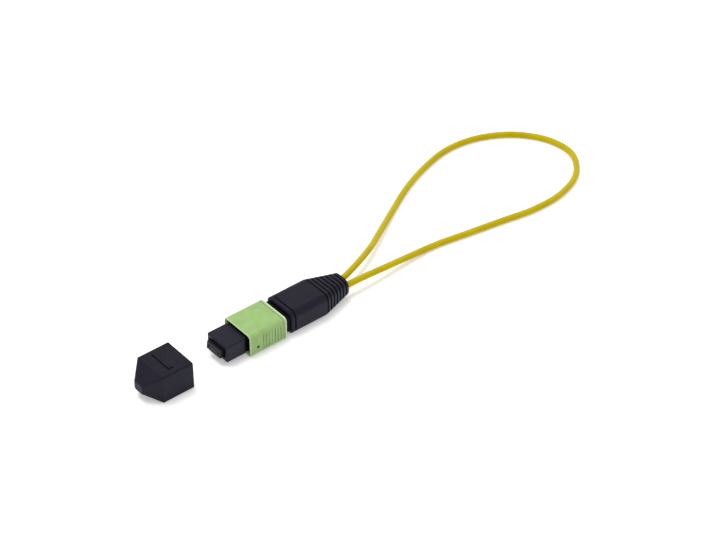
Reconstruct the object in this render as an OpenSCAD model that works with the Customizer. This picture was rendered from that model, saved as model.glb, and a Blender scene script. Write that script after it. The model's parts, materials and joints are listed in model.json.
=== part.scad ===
// Fibre loopback plug: a twelve-fibre push-on plug whose jacketed fibres loop back into it,
// with its dust cap taken off and laid in front of the nose.
// +X runs from the nose towards the loop, +Z is up, and the plug lies on the plane Z = 0.
// The origin is under the middle of the coupling sleeve. Lengths are in millimetres.

/* [Coupling sleeve] */
// Width across the sleeve
sleeve_w = 12.4; // [12.2:0.1:13.6]
// Height of the sleeve
sleeve_h = 7.8; // [7.6:0.1:9]
// Length of the sleeve
sleeve_l = 13.4; // [13:0.1:15]
// Radius of the sleeve's long corners
sleeve_corner = 1.5; // [1.1:0.1:2]
// Thickness of each side wall
sleeve_side = 0.9; // [0.8:0.05:1]
// Thickness of the top and bottom walls
sleeve_roof = 0.85; // [0.7:0.05:0.95]
// How far the sleeve can be pulled back, which also sets the length of the neck that shows
sleeve_travel = 1.5; // [1:0.1:2]
// Width of the raised lip round the rear of the sleeve
lip_l = 1.1; // [0.6:0.1:1.6]
// Width of the crease in front of the lip
crease_w = 0.3; // [0.2:0.05:0.5]
// Depth of the crease in front of the lip
crease_depth = 0.2; // [0.1:0.05:0.3]
// Width of the bevel round both ends of the sleeve
sleeve_bevel = 0.25; // [0.1:0.05:0.35]
// Number of finger ribs on each side
grip_count = 7; // [3:1:8]
// Distance from one finger rib to the next
grip_pitch = 1.05; // [0.9:0.05:1.1]
// Width of a finger rib
grip_w = 0.55; // [0.3:0.05:0.7]
// Depth of the panel that the finger ribs stand in
grip_depth = 0.18; // [0.1:0.02:0.25]
// Diameter of the small hole in the right side
mark_hole_d = 1; // [0.5:0.1:1.1]
// Distance of the small hole behind the front edge
mark_hole_back = 2.8; // [2.2:0.1:3]
// Height of the small hole below the plug's axis
mark_hole_drop = 1.1; // [0.9:0.1:1.4]

/* [Inner housing] */
// Width of the nose
nose_w = 9.3; // [9:0.1:9.8]
// Height of the nose
nose_h = 5.4; // [5.2:0.1:5.8]
// Extra room on each side of the ferrule at the mouth of the nose
mouth_side = 0.75; // [0.3:0.05:0.9]
// Extra room above and below the ferrule at the mouth of the nose
mouth_over = 0.3; // [0.15:0.05:0.5]
// Depth of the mouth of the nose
mouth_l = 1.6; // [0.8:0.1:2.5]
// Length of the nose that stands out of the sleeve
nose_out = 7.3; // [6.6:0.1:8]
// Bevel on the upright front corners of the nose
nose_bevel = 0.4; // [0.3:0.1:1]
// Bevel on the level front edges of the nose
nose_brow = 0.3; // [0.1:0.1:0.5]
// Length of the adapter latch recess that shows in front of the sleeve
latch_show = 0.8; // [0.5:0.1:1.8]
// Distance from the sleeve's front edge back to the housing's shoulder
shoulder_back = 1.2; // [0.8:0.1:1.5]
// Distance that the housing stops short of the sleeve's rear edge
housing_inset = 0.3; // [0.1:0.1:0.6]
// Width of the cavity for the ferrule and its spring
cavity_w = 7.3; // [7.2:0.05:7.4]
// Height of the cavity for the ferrule and its spring
cavity_h = 4.2; // [4.1:0.05:4.4]
// Thinnest side wall left beside the cavity
thin_wall = 0.3; // [0.25:0.01:0.32]
// Width of the key under the nose
key_w = 2.9; // [2.4:0.1:3.4]
// Height of the key under the nose
key_h = 0.85; // [0.5:0.05:1]
// Length of the key
key_l = 5; // [3:0.1:5.8]

/* [Ferrule] */
// Width of the ferrule
ferrule_w = 6.4; // [6.2:0.05:6.5]
// Height of the ferrule
ferrule_h = 2.5; // [2.4:0.05:2.8]
// Length of the ferrule
ferrule_l = 8; // [7.8:0.1:8.4]
// How far the ferrule stands out of the nose
ferrule_proud = 1.2; // [1:0.1:1.9]
// Angle of the polished face, in degrees
polish_angle = 8; // [0:1:8]
// Height of the flange at the rear of the ferrule
flange_h = 3.1; // [2.9:0.1:3.5]
// Length of the flange
flange_l = 2; // [1.6:0.1:2.4]
// Diameter of the guide-pin holes
pin_hole_d = 0.7; // [0.6:0.05:0.8]
// Distance between the guide-pin holes
pin_pitch = 4.6; // [4.5:0.05:5]
// Distance from one fibre to the next
fibre_pitch = 0.25; // [0.25:0.005:0.27]
// Diameter of a bare fibre
bare_d = 0.125; // [0.1:0.005:0.15]
// Diameter of a coated fibre
coat_d = 0.22; // [0.18:0.01:0.22]
// Length of the fine holes behind the polished face
fine_hole_l = 3; // [2.4:0.1:3.4]
// Length of the glue window in the top of the ferrule
window_l = 2.2; // [1.4:0.1:2.3]

/* [Ferrule boot, keeper and spring] */
// Width of the rubber ferrule boot
ferrule_boot_w = 3.5; // [3.4:0.05:3.6]
// Height of the rubber ferrule boot
ferrule_boot_h = 1.5; // [1.3:0.05:1.6]
// Depth of the ferrule boot inside the ferrule
ferrule_boot_in = 1.6; // [1:0.1:2]
// Length of the ferrule boot behind the ferrule
ferrule_boot_out = 3.6; // [3:0.1:4.2]
// Length of the pin keeper behind the ferrule
keeper_l = 2.2; // [1.8:0.1:2.6]
// Length of the keeper's boss inside the spring
keeper_boss_l = 0.7; // [0.4:0.1:1]
// Thickness of the ferrule spring's wire
ferrule_wire = 0.5; // [0.4:0.05:0.55]
// Turns of the ferrule spring
ferrule_turns = 5.5; // [4:0.5:6.5]

/* [Coupling springs] */
// Outer diameter of a coupling spring
coupling_spring_d = 1.4; // [1.2:0.05:1.45]
// Thickness of a coupling spring's wire
coupling_wire = 0.2; // [0.15:0.01:0.25]
// Turns of a coupling spring
coupling_turns = 8; // [5:1:10]
// Length of the sleeve's tabs in front of the coupling springs
tab_l = 0.8; // [0.5:0.1:1]

/* [Rear housing] */
// Length of the neck that still shows with the sleeve pulled back
neck_spare = 0.4; // [0.3:0.1:1]
// Step on each side from the neck in to the spigot that the boot sits on
spigot_step = 0.6; // [0.3:0.1:0.8]
// Length of the spigot inside the boot
spigot_l = 1.4; // [0.8:0.1:2]
// Length of the tube that plugs into the inner housing
plug_in_l = 3.6; // [3.3:0.1:4]
// Depth of the snap barbs in their windows
barb_depth = 0.6; // [0.3:0.05:0.8]
// Height of the snap barbs
barb_h = 2; // [1.4:0.1:2.4]
// Width of the fibre passage through the rear housing
passage_w = 4.6; // [4.4:0.05:4.8]
// Height of the fibre passage through the rear housing
passage_h = 1.9; // [1.7:0.05:2]
// Width of the barrel
barrel_w = 6.2; // [6:0.1:6.5]
// Height of the barrel
barrel_h = 3.4; // [3.2:0.1:3.6]
// Length of the barrel
barrel_l = 7.4; // [6.5:0.1:8]

/* [Crimp ring and yarn] */
// Thickness of the strength yarn laid over the barrel
yarn_t = 0.2; // [0.15:0.05:0.3]
// Thickness of the crimp ring's wall
ring_t = 0.35; // [0.25:0.05:0.4]
// Length of the crimp ring
ring_l = 5.2; // [3.5:0.1:5.4]
// Radius of the grooves pressed round the crimp ring
ring_groove = 0.12; // [0.05:0.01:0.18]

/* [Boot] */
// Width of the boot's body
boot_w = 12; // [11.3:0.1:13]
// Height of the boot's body
boot_h = 7.8; // [7.5:0.1:9]
// Radius of the boot's long corners
boot_corner = 2.1; // [1:0.1:2.4]
// Length from the boot's front to its first rib
boot_body_l = 13.3; // [12:0.1:15]
// Length of the ribbed tail
tail_l = 10.1; // [8.5:0.1:12]
// Width of the tail's end
tail_w = 6.8; // [6.4:0.1:8]
// Height of the tail's end
tail_h = 5.8; // [5:0.1:6.4]
// How far the tail's end lies below the plug's axis
tail_drop = 0.1; // [0:0.1:0.3]
// Number of ribs round the tail
rib_count = 7; // [4:1:8]
// Share of each rib's pitch that is groove
groove_share = 0.38; // [0.25:0.01:0.5]
// Depth of the grooves between the ribs
groove_depth = 0.45; // [0.2:0.05:0.5]
// Width of the collar band at the boot's front
collar_l = 1.1; // [0.8:0.1:2]
// Width of the groove behind the collar band
collar_groove_w = 0.6; // [0.3:0.1:0.8]

/* [Jacketed fibre] */
// Diameter of the yellow jacket
jacket_d = 2; // [1.8:0.05:2.1]
// Distance of each end of the jacket from the plug's axis
leg_y = 1.6; // [1.3:0.05:1.7]

/* [Dust cap] */
// Width of the dust cap
cap_w = 12.2; // [12:0.1:14]
// Height of the dust cap
cap_h = 9.2; // [8.6:0.1:10]
// Length of the dust cap's straight walls
cap_l = 10.4; // [9.6:0.1:12]
// Length of the hipped closed end
cap_hip_l = 4.4; // [2:0.1:5]
// Width of the hipped end's tip
cap_tip_w = 3.6; // [2.6:0.1:7]
// Height of the hipped end's tip
cap_tip_h = 3; // [2.4:0.1:4]
// How far the hipped end's tip lies below the middle of the cap
cap_tip_drop = 0.3; // [0:0.1:0.5]
// Radius of the dust cap's long corners
cap_corner = 0.6; // [0.3:0.1:1.2]
// Room left in the cap in front of the ferrule's face
cap_room = 0.6; // [0.3:0.1:1]
// Distance from the ferrule's face to the mouth of the cap that lies in front of it
cap_apart = 11.4; // [9.5:0.1:14]
// Length of the thumb mark's stroke across the cap's top
thumb_w = 8; // [6:0.1:9]
// Length of the thumb mark's leg towards the mouth
thumb_leg_l = 1.8; // [1:0.1:4]
// Width of the thumb mark's groove
thumb_groove_w = 0.4; // [0.3:0.05:0.6]
// Depth of the thumb mark's groove
thumb_groove_depth = 0.45; // [0.2:0.05:0.6]
// Distance of the thumb mark's front from the cap's mouth
thumb_back = 7; // [6.5:0.1:8]

/* [Fits] */
// Gap on each side between parts that slide on each other
slide_gap = 0.1; // [0.05:0.01:0.15]
// Gap on each side between parts that are pushed together
seat_gap = 0.05; // [0.03:0.01:0.08]
// Gap on each side of the ferrule in the nose
ferrule_gap = 0.08; // [0.04:0.01:0.12]
// Gap on each side of the nose in the dust cap
cap_gap = 0.15; // [0.1:0.01:0.25]

/* [Hidden] */

// Plug's axis above the plane that the plug lies on
axis_z = max(sleeve_h, boot_h) / 2;

// Places along X, from the nose to the tail
sleeve_front = -sleeve_l / 2;
sleeve_rear = sleeve_l / 2;
nose_front = sleeve_front - nose_out;
face_x = nose_front - ferrule_proud;
ferrule_rear = face_x + ferrule_l;
flange_front = ferrule_rear - flange_l;
shoulder_x = sleeve_front + shoulder_back;
housing_rear = sleeve_rear - housing_inset;
seat_x = housing_rear - plug_in_l;
boot_front = sleeve_rear + sleeve_travel + neck_spare;
spigot_rear = boot_front + spigot_l;
barrel_rear = spigot_rear + barrel_l;
tail_start = boot_front + boot_body_l;
boot_rear = tail_start + tail_l;

// Sections that follow from the sleeve
sleeve_in_w = sleeve_w - 2 * sleeve_side;
sleeve_in_h = sleeve_h - 2 * sleeve_roof;
mid_w = sleeve_in_w - 2 * slide_gap;
mid_h = sleeve_in_h - 2 * slide_gap;
stop_h = 0.3;
stop_l = 0.8;
stop_w = 4;
stop_front = housing_rear - 2 * stop_l;
neck_w = sleeve_in_w - 2 * slide_gap;
neck_h = sleeve_in_h - 2 * (stop_h + slide_gap);
spigot_w = neck_w - 2 * spigot_step;

// How far a cut runs past the face that it opens
reach = 2;

// Ferrule's flange, keeper and spring, which move in the cavity
cavity_play = 0.15;
boss_wall = 0.4;
flange_w = cavity_w - 2 * cavity_play;
keeper_h = cavity_h - 2 * cavity_play;
keeper_rear = ferrule_rear + keeper_l;
spring_w = cavity_w - 3 * cavity_play;
spring_h = cavity_h - 3 * cavity_play;
boss_w = ferrule_boot_w + 2 * (slide_gap + boss_wall);
boss_h = ferrule_boot_h + 2 * (slide_gap + boss_wall);
boss_corner = 1;

// Slot for the row of coated fibres
ribbon_slot_w = 11 * fibre_pitch + coat_d + 0.15;
ribbon_slot_h = coat_d + 0.3;

// Channels of the coupling springs
channel_floor = cavity_w / 2 + thin_wall;
channel_h = coupling_spring_d + 2 * slide_gap;
spring_y = channel_floor + slide_gap + coupling_spring_d / 2;
tab_back = 1.4;
tab_front = shoulder_x + tab_back;
tab_rear = tab_front + tab_l;
barb_back = 1.4;
barb_front = seat_x + barb_back;
barb_l = 1.2;
channel_web = 0.9;
channel_rear = barb_front - channel_web;

// Barrel, yarn, ring and the boot's hollow for them
neck_corner = 0.6;
barrel_corner = 1.5;
yarn_corner = barrel_corner + yarn_t;
ring_corner = yarn_corner + ring_t;
ring_inset = 0.5;
yarn_w = barrel_w + 2 * yarn_t;
yarn_h = barrel_h + 2 * yarn_t;
ring_w = yarn_w + 2 * ring_t;
ring_h = yarn_h + 2 * ring_t;
ring_rear = barrel_rear - ring_inset;
ring_front = ring_rear - ring_l;
yarn_front = ring_front - ring_inset;

// Dust cap on the table and where it goes on the nose
cap_mouth = face_x - cap_apart;
cap_depth = nose_out + ferrule_proud + cap_room;
cap_in_w = nose_w + 2 * cap_gap;
cap_in_h = nose_h + 2 * cap_gap;
cap_tip_z = cap_h / 2 - cap_tip_drop;

// Route of the jacket from one hole in the boot's end round to the other: distance behind the
// boot, place across the plug, and height as a share, from 0 on the table to 1 at the plug's axis
ROUTE = [
    [7, 3.5, 0.95], [18, 8.5, 0.7], [28.5, 15, 0.3], [39, 21.5, 0], [50, 27.5, 0],
    [61.5, 32, 0], [73, 34.5, 0], [84.5, 33, 0], [95, 27, 0], [101.5, 17.5, 0],
    [102, 7, 0], [95, -2, 0], [84, -6.5, 0], [72, -7, 0], [60, -5, 0],
    [48, -3, 0], [36, -1, 0], [25, -1, 0.3], [15, -1.5, 0.7], [7, -1.7, 0.95]
];
ROUTE_STEPS = 2;
JACKET_SIDES = 8;

// ---- Shared shapes ----

// Rounded rectangle, centred, in the XY plane
module round_rect(w, h, r) {
    square([w - 2 * r, h], center = true);
    square([w, h - 2 * r], center = true);
    for (x = [-1, 1], y = [-1, 1])
        translate([x * (w / 2 - r), y * (h / 2 - r)]) circle(r, $fn = 48);
}

// Extrudes a YZ section from x0 to x1, centred on the plug's axis
module along(x0, x1) {
    translate([x0, 0, axis_z]) rotate([90, 0, 90]) linear_extrude(x1 - x0) children();
}

// Rectangular block on the plug's axis from x0 to x1
module block(x0, x1, w, h, y = 0, z = 0) {
    translate([x0, y - w / 2, axis_z + z - h / 2]) cube([x1 - x0, w, h]);
}

// Points of a rounded rectangle at x: width w and height h about y = 0 and height z
function section(x, z, w, h, r, arc = 5) = [
    for (corner = [0:3], i = [0:arc])
        let (
            a = corner * 90 + i * 90 / arc,
            sy = (corner == 0 || corner == 3) ? 1 : -1,
            sz = (corner < 2) ? 1 : -1
        )
        [x, sy * (w / 2 - r) + r * cos(a), z + sz * (h / 2 - r) + r * sin(a)]
];

// Closed solid through a list of rings that have equal numbers of points
module skin(rings) {
    n = len(rings[0]);
    last = len(rings) - 1;
    points = [for (ring = rings) each ring];
    sides = [
        for (k = [0:last - 1], i = [0:n - 1])
            let (a = k * n + i, b = k * n + (i + 1) % n)
            each [[a, b + n, b], [a, a + n, b + n]]
    ];
    ends = [[for (i = [0:n - 1]) i], [for (i = [n - 1:-1:0]) last * n + i]];
    polyhedron(points, concat(sides, ends), convexity = 8);
}

// Ring of a tube round point p, square to direction d
function tube_ring(p, d, r, sides, start = 0) =
    let (
        f = d / norm(d),
        side = cross([0, 0, 1], f) / norm(cross([0, 0, 1], f)),
        up = cross(f, side)
    )
    [for (i = [0:sides - 1]) let (a = start + i * 360 / sides) p + r * (cos(a) * side + sin(a) * up)];

// Tube along a list of points
module tube(path, r, sides, start = 0) {
    last = len(path) - 1;
    skin([
        for (i = [0:last])
            tube_ring(path[i], path[min(i + 1, last)] - path[max(i - 1, 0)], r, sides, start)
    ]);
}

// Oval coil spring along X from x0 to x1, with its end turns closed
module coil(x0, x1, w, h, wire, turns, steps, sides, y = 0) {
    count = turns * steps;
    rise = x1 - x0 - wire;
    path = [
        for (i = [0:count])
            let (
                a = 360 * i / steps,
                t = i / count,
                ramp = t - 0.5 * sin(360 * t) / (2 * PI)
            )
            [x0 + wire / 2 + rise * ramp, y + (w - wire) / 2 * cos(a), axis_z + (h - wire) / 2 * sin(a)]
    ];
    last = len(path) - 1;
    skin([
        for (i = [0:last])
            let (
                d = path[min(i + 1, last)] - path[max(i - 1, 0)],
                f = d / norm(d),
                out = cross(f, [1, 0, 0]) / norm(cross(f, [1, 0, 0])),
                up = cross(f, out)
            )
            [
                for (k = [0:sides - 1])
                    let (b = 360 * k / sides)
                    path[i] + wire / 2 * (cos(b) * out + sin(b) * up)
            ]
    ]);
}

// ---- Dust cap ----

module dust_cap() {
    color("#26262b") difference() {
        skin([
            section(cap_mouth - cap_l - cap_hip_l, cap_tip_z, cap_tip_w, cap_tip_h, cap_corner),
            section(cap_mouth - cap_l, cap_h / 2, cap_w, cap_h, cap_corner),
            section(cap_mouth, cap_h / 2, cap_w, cap_h, cap_corner)
        ]);
        block(cap_mouth - cap_depth, cap_mouth + 1, cap_in_w, cap_in_h);
        // Slot for the key, open underneath
        translate([cap_mouth - cap_depth, -key_w / 2 - cap_gap, -1])
            cube([cap_depth + 1, key_w + 2 * cap_gap, axis_z]);
        thumb_mark();
    }
}

// Groove that marks where the thumb pushes: a stroke across the cap with a leg at its right end
module thumb_mark() {
    front = cap_mouth - thumb_back;
    floor_z = cap_h - thumb_groove_depth;
    translate([front, -thumb_w / 2, floor_z]) cube([thumb_groove_w, thumb_w, reach]);
    translate([front, -thumb_w / 2, floor_z]) cube([thumb_leg_l, thumb_groove_w, reach]);
}

// ---- Ferrule group ----

module ferrule() {
    color("#33343a") difference() {
        union() {
            block(face_x - 1, ferrule_rear, ferrule_w, ferrule_h);
            block(flange_front, ferrule_rear, flange_w, flange_h);
        }
        // Polished face, leaning back towards the top
        translate([face_x, 0, axis_z]) rotate([0, polish_angle, 0])
            translate([-reach, -ferrule_w, -ferrule_h * 2]) cube([reach, 2 * ferrule_w, 4 * ferrule_h]);
        for (side = [-1, 1])
            translate([face_x - 1, side * pin_pitch / 2, axis_z]) rotate([0, 90, 0])
                cylinder(d = pin_hole_d, h = ferrule_l + 2, $fn = 48);
        for (k = [0:11])
            translate([face_x - 1, (k - 5.5) * fibre_pitch, axis_z]) rotate([0, 90, 0])
                cylinder(d = bare_d + 0.02, h = fine_hole_l + 1.2, $fn = 16);
        // Fibre slot, glue window and the ferrule boot's pocket
        block(face_x + fine_hole_l, ferrule_rear + 1, ribbon_slot_w, ribbon_slot_h);
        block(face_x + fine_hole_l, face_x + fine_hole_l + window_l, ribbon_slot_w, ferrule_h,
            0, ferrule_h / 2);
        block(ferrule_rear - ferrule_boot_in - seat_gap, ferrule_rear + 1,
            ferrule_boot_w + 2 * seat_gap, ferrule_boot_h + 2 * seat_gap);
    }
}

module ferrule_boot() {
    front = ferrule_rear - ferrule_boot_in;
    rear = ferrule_rear + ferrule_boot_out;
    color("#6f7378") difference() {
        block(front, rear, ferrule_boot_w, ferrule_boot_h);
        block(front - 1, rear + 1, ribbon_slot_w, ribbon_slot_h);
    }
}

module pin_keeper() {
    color("#c9c9c4") difference() {
        union() {
            block(ferrule_rear, keeper_rear, flange_w, keeper_h);
            along(keeper_rear, keeper_rear + keeper_boss_l) round_rect(boss_w, boss_h, boss_corner);
        }
        block(ferrule_rear - 1, keeper_rear + keeper_boss_l + 1,
            ferrule_boot_w + 2 * slide_gap, ferrule_boot_h + 2 * slide_gap);
    }
}

module ferrule_spring() {
    color("silver") coil(keeper_rear, seat_x, spring_w, spring_h, ferrule_wire, ferrule_turns, 24, 6);
}

// ---- Housings ----

module inner_housing() {
    color("#232429") difference() {
        union() {
            nose_body();
            along(shoulder_x, housing_rear) round_rect(mid_w, mid_h, sleeve_corner - sleeve_side + 0.3);
            // Key, sunk 1 mm into the nose
            block(sleeve_front - slide_gap - key_l, sleeve_front - slide_gap, key_w, key_h + 1,
                0, -(nose_h + key_h - 1) / 2);
        }
        // Mouth, the ferrule's opening, then the wider cavity behind its flange's shoulder
        block(nose_front - 1, nose_front + mouth_l, ferrule_w + 2 * mouth_side, ferrule_h + 2 * mouth_over);
        block(nose_front - 1, flange_front + 1, ferrule_w + 2 * ferrule_gap, ferrule_h + 2 * ferrule_gap);
        block(flange_front, housing_rear + 1, cavity_w, cavity_h);
        for (side = [-1, 1]) {
            latch_recess(side);
            block(tab_front - slide_gap, channel_rear, 2 * reach, channel_h, side * (channel_floor + reach));
            // Window for the rear housing's barb
            block(barb_front - seat_gap, barb_front + barb_l + seat_gap, 2 * reach, barb_h + 2 * seat_gap,
                side * (cavity_w / 2 + reach - 1));
            // Slot that the sleeve's stop slides in, open to the rear
            block(stop_front - seat_gap, housing_rear + 1, stop_w + 2 * slide_gap, 2 * (stop_h + slide_gap),
                0, side * mid_h / 2);
        }
    }
}

// Nose with bevelled front edges
module nose_body() {
    rear = shoulder_x + 1;
    intersection() {
        block(nose_front, rear, nose_w, nose_h);
        translate([0, 0, axis_z - nose_h]) linear_extrude(2 * nose_h) polygon([
            [nose_front + nose_bevel, -nose_w / 2], [nose_front, -nose_w / 2 + nose_bevel],
            [nose_front, nose_w / 2 - nose_bevel], [nose_front + nose_bevel, nose_w / 2],
            [rear, nose_w / 2], [rear, -nose_w / 2]
        ]);
        translate([0, nose_w, axis_z]) rotate([90, 0, 0]) linear_extrude(2 * nose_w) polygon([
            [nose_front + nose_brow, -nose_h / 2], [nose_front, -nose_h / 2 + nose_brow],
            [nose_front, nose_h / 2 - nose_brow], [nose_front + nose_brow, nose_h / 2],
            [rear, nose_h / 2], [rear, -nose_h / 2]
        ]);
    }
}

// Recess that an adapter's latch drops into, with a ramp at its front
module latch_recess(side) {
    front = sleeve_front - latch_show;
    depth = nose_w / 2 - channel_floor;
    mirror([0, side < 0 ? 1 : 0, 0]) translate([0, 0, axis_z - nose_h]) linear_extrude(2 * nose_h) polygon([
        [front, nose_w / 2 + 1], [front, nose_w / 2], [front + depth, channel_floor],
        [shoulder_x, channel_floor], [shoulder_x, nose_w / 2 + 1]
    ]);
}

module rear_housing() {
    tube_w = cavity_w - 2 * seat_gap;
    tube_h = cavity_h - 2 * seat_gap;
    color("#232429") difference() {
        union() {
            block(seat_x, housing_rear, tube_w, tube_h);
            for (side = [0, 1]) mirror([0, side, 0]) barb(tube_w / 2);
            along(housing_rear, boot_front) round_rect(neck_w, neck_h, neck_corner);
            along(boot_front, spigot_rear) round_rect(spigot_w, neck_h, neck_corner);
            along(spigot_rear, barrel_rear) round_rect(barrel_w, barrel_h, barrel_corner);
        }
        block(seat_x - 1, barrel_rear + 1, passage_w, passage_h);
    }
}

// Snap barb on the plug-in tube, with its ramp at the front
module barb(y) {
    translate([0, 0, axis_z - barb_h / 2]) linear_extrude(barb_h) polygon([
        [barb_front, y - 0.2], [barb_front, y + 0.1], [barb_front + barb_l * 0.8, y + barb_depth],
        [barb_front + barb_l, y + barb_depth], [barb_front + barb_l, y - 0.2]
    ]);
}

// ---- Coupling sleeve and its springs ----

module coupling_sleeve() {
    pocket = spring_y + coupling_spring_d / 2 + slide_gap;
    color("#a4cd80") difference() {
        union() {
            difference() {
                sleeve_outside();
                along(sleeve_front - 1, sleeve_rear + 1)
                    round_rect(sleeve_in_w, sleeve_in_h, sleeve_corner - sleeve_side);
                // Pockets that let the coupling springs reach into the side walls
                for (side = [-1, 1])
                    block(tab_rear - slide_gap, channel_rear + 2 * slide_gap, 2 * reach, channel_h,
                        side * (pocket - reach));
            }
            for (side = [-1, 1]) {
                // Tab in front of the coupling spring
                block(tab_front, tab_rear, sleeve_in_w / 2 + 0.3 - channel_floor - slide_gap,
                    coupling_spring_d, side * (sleeve_in_w / 2 + 0.3 + channel_floor + slide_gap) / 2);
                // Stop inside the roof and the floor
                block(stop_front, stop_front + stop_l, stop_w, stop_h + 0.3, 0,
                    side * (sleeve_in_h / 2 - stop_h / 2 + 0.15));
            }
        }
        translate([sleeve_front + mark_hole_back, -sleeve_w, axis_z - mark_hole_drop]) rotate([-90, 0, 0])
            cylinder(d = mark_hole_d, h = sleeve_w - sleeve_in_w / 2 + 0.5, $fn = 32);
    }
}

// Outside of the sleeve: bevelled ends, a crease in front of the rear lip and the finger ribs
module sleeve_outside() {
    crease = sleeve_rear - lip_l - crease_w;
    grip_end = crease - 0.5;
    grip_front = grip_end - grip_count * grip_pitch;
    difference() {
        union() {
            along(sleeve_front + sleeve_bevel, sleeve_rear - sleeve_bevel)
                round_rect(sleeve_w, sleeve_h, sleeve_corner);
            along(sleeve_front, sleeve_rear)
                round_rect(sleeve_w - 2 * sleeve_bevel, sleeve_h - 2 * sleeve_bevel,
                    sleeve_corner - sleeve_bevel);
        }
        difference() {
            along(crease, crease + crease_w) square(2 * sleeve_w, center = true);
            along(crease - 1, crease + crease_w + 1) round_rect(
                sleeve_w - 2 * crease_depth, sleeve_h - 2 * crease_depth, sleeve_corner - crease_depth);
        }
        for (side = [-1, 1], k = [0:grip_count - 1])
            translate([grip_front + (k + 0.5) * grip_pitch, side * sleeve_w / 2, axis_z])
                cube([grip_pitch - grip_w, 2 * grip_depth, sleeve_h - 2 * sleeve_corner], center = true);
    }
}

module coupling_spring(side) {
    color("silver") coil(tab_rear, channel_rear, coupling_spring_d, coupling_spring_d,
        coupling_wire, coupling_turns, 12, 5, side * spring_y);
}

module coupling_spring_left() { coupling_spring(1); }

module coupling_spring_right() { coupling_spring(-1); }

// ---- Yarn, crimp ring and boot ----

module strength_yarn() {
    color("#d9c64a") difference() {
        along(yarn_front, barrel_rear) round_rect(yarn_w, yarn_h, yarn_corner);
        along(yarn_front - 1, barrel_rear + 1) round_rect(barrel_w, barrel_h, barrel_corner);
    }
}

module crimp_ring() {
    grooves = 4;
    step = ring_l / (grooves + 1);
    color("silver") difference() {
        along(ring_front, ring_rear) round_rect(ring_w, ring_h, ring_corner);
        along(ring_front - 1, ring_rear + 1) round_rect(yarn_w, yarn_h, yarn_corner);
        for (k = [1:grooves])
            difference() {
                along(ring_front + k * step - ring_groove, ring_front + k * step + ring_groove)
                    square(2 * ring_w, center = true);
                along(ring_front, ring_rear)
                    round_rect(ring_w - 2 * ring_groove, ring_h - 2 * ring_groove, ring_corner - ring_groove);
            }
    }
}

// Width and height of the boot's outline at a share t of its tail
function tail_width(t) = boot_w + (tail_w - boot_w) * t;
function tail_height(t) = boot_h + (tail_h - boot_h) * t;
function tail_section(t, cut) = section(tail_start + t * tail_l, axis_z - t * tail_drop,
    tail_width(t) - 2 * cut, tail_height(t) - 2 * cut, boot_corner - cut / 2);

module boot() {
    body = function(x, cut) section(x, axis_z, boot_w - 2 * cut, boot_h - 2 * cut, boot_corner - cut / 2);
    collar_end = boot_front + collar_l;
    edge = 0.4;
    color("#232429") difference() {
        skin(concat(
            [
                body(boot_front, edge), body(boot_front + edge, 0),
                body(collar_end, 0), body(collar_end, groove_depth),
                body(collar_end + collar_groove_w, groove_depth), body(collar_end + collar_groove_w, 0)
            ],
            [
                for (k = [0:rib_count - 1])
                    let (t0 = k / rib_count, t1 = (k + groove_share) / rib_count)
                    each [
                        tail_section(t0, 0), tail_section(t0, groove_depth),
                        tail_section(t1, groove_depth), tail_section(t1, 0)
                    ]
            ],
            [tail_section(1, 0)]
        ));
        boot_hollow();
    }
}

// Room in the boot for the spigot, the crimped barrel and the two ends of the jacket
module boot_hollow() {
    along(boot_front - 1, spigot_rear + seat_gap)
        round_rect(spigot_w + 2 * seat_gap, neck_h + 2 * seat_gap, neck_corner);
    along(spigot_rear, barrel_rear + slide_gap)
        round_rect(ring_w + 2 * slide_gap, ring_h + 2 * slide_gap, ring_corner);
    for (side = [-1, 1])
        translate([barrel_rear, side * leg_y, axis_z]) rotate([0, 90, 0])
            cylinder(d = jacket_d + 2 * slide_gap, h = boot_rear - barrel_rear + 1, $fn = 32);
}

// ---- Jacket and fibres ----

// Centre of the jacket at the boot's end, at each point of the route, and at the boot's end again
function route_points() = concat(
    [[boot_rear, leg_y, axis_z]],
    [for (p = ROUTE) [boot_rear + p[0], p[1], jacket_d / 2 + p[2] * (axis_z - jacket_d / 2)]],
    [[boot_rear, -leg_y, axis_z]]
);
// Direction at point i: along X where the jacket leaves and enters the boot
function tangent(p, i) =
    i == 0 ? [norm(p[1] - p[0]), 0, 0] :
    i == len(p) - 1 ? [-norm(p[i] - p[i - 1]), 0, 0] :
    (p[i + 1] - p[i - 1]) / 2;
function between(a, b, da, db, t) =
    (2 * t ^ 3 - 3 * t ^ 2 + 1) * a + (t ^ 3 - 2 * t ^ 2 + t) * da
    + (3 * t ^ 2 - 2 * t ^ 3) * b + (t ^ 3 - t ^ 2) * db;
// Keeps a centre at least the jacket's radius above the table
function lifted(p) = [p[0], p[1], max(p[2], jacket_d / 2)];
function route_path() =
    let (p = route_points(), last = len(p) - 1)
    concat(
        [[barrel_rear, leg_y, axis_z]],
        [
            for (i = [0:last - 1], s = [0:ROUTE_STEPS - 1])
                lifted(between(p[i], p[i + 1], tangent(p, i), tangent(p, i + 1), s / ROUTE_STEPS))
        ],
        [p[last], [barrel_rear, -leg_y, axis_z]]
    );

module fibre_loop() {
    half_side = 180 / JACKET_SIDES;
    color("#d8bd1e") tube(route_path(), jacket_d / 2 / cos(half_side), JACKET_SIDES, half_side);
}

// Place of fibre k in its jacket: six in a ring, the outermost first
BUNDLE_ANGLES = [0, 60, -60, 120, -120, 180];
bundle_r = 0.32;

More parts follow.
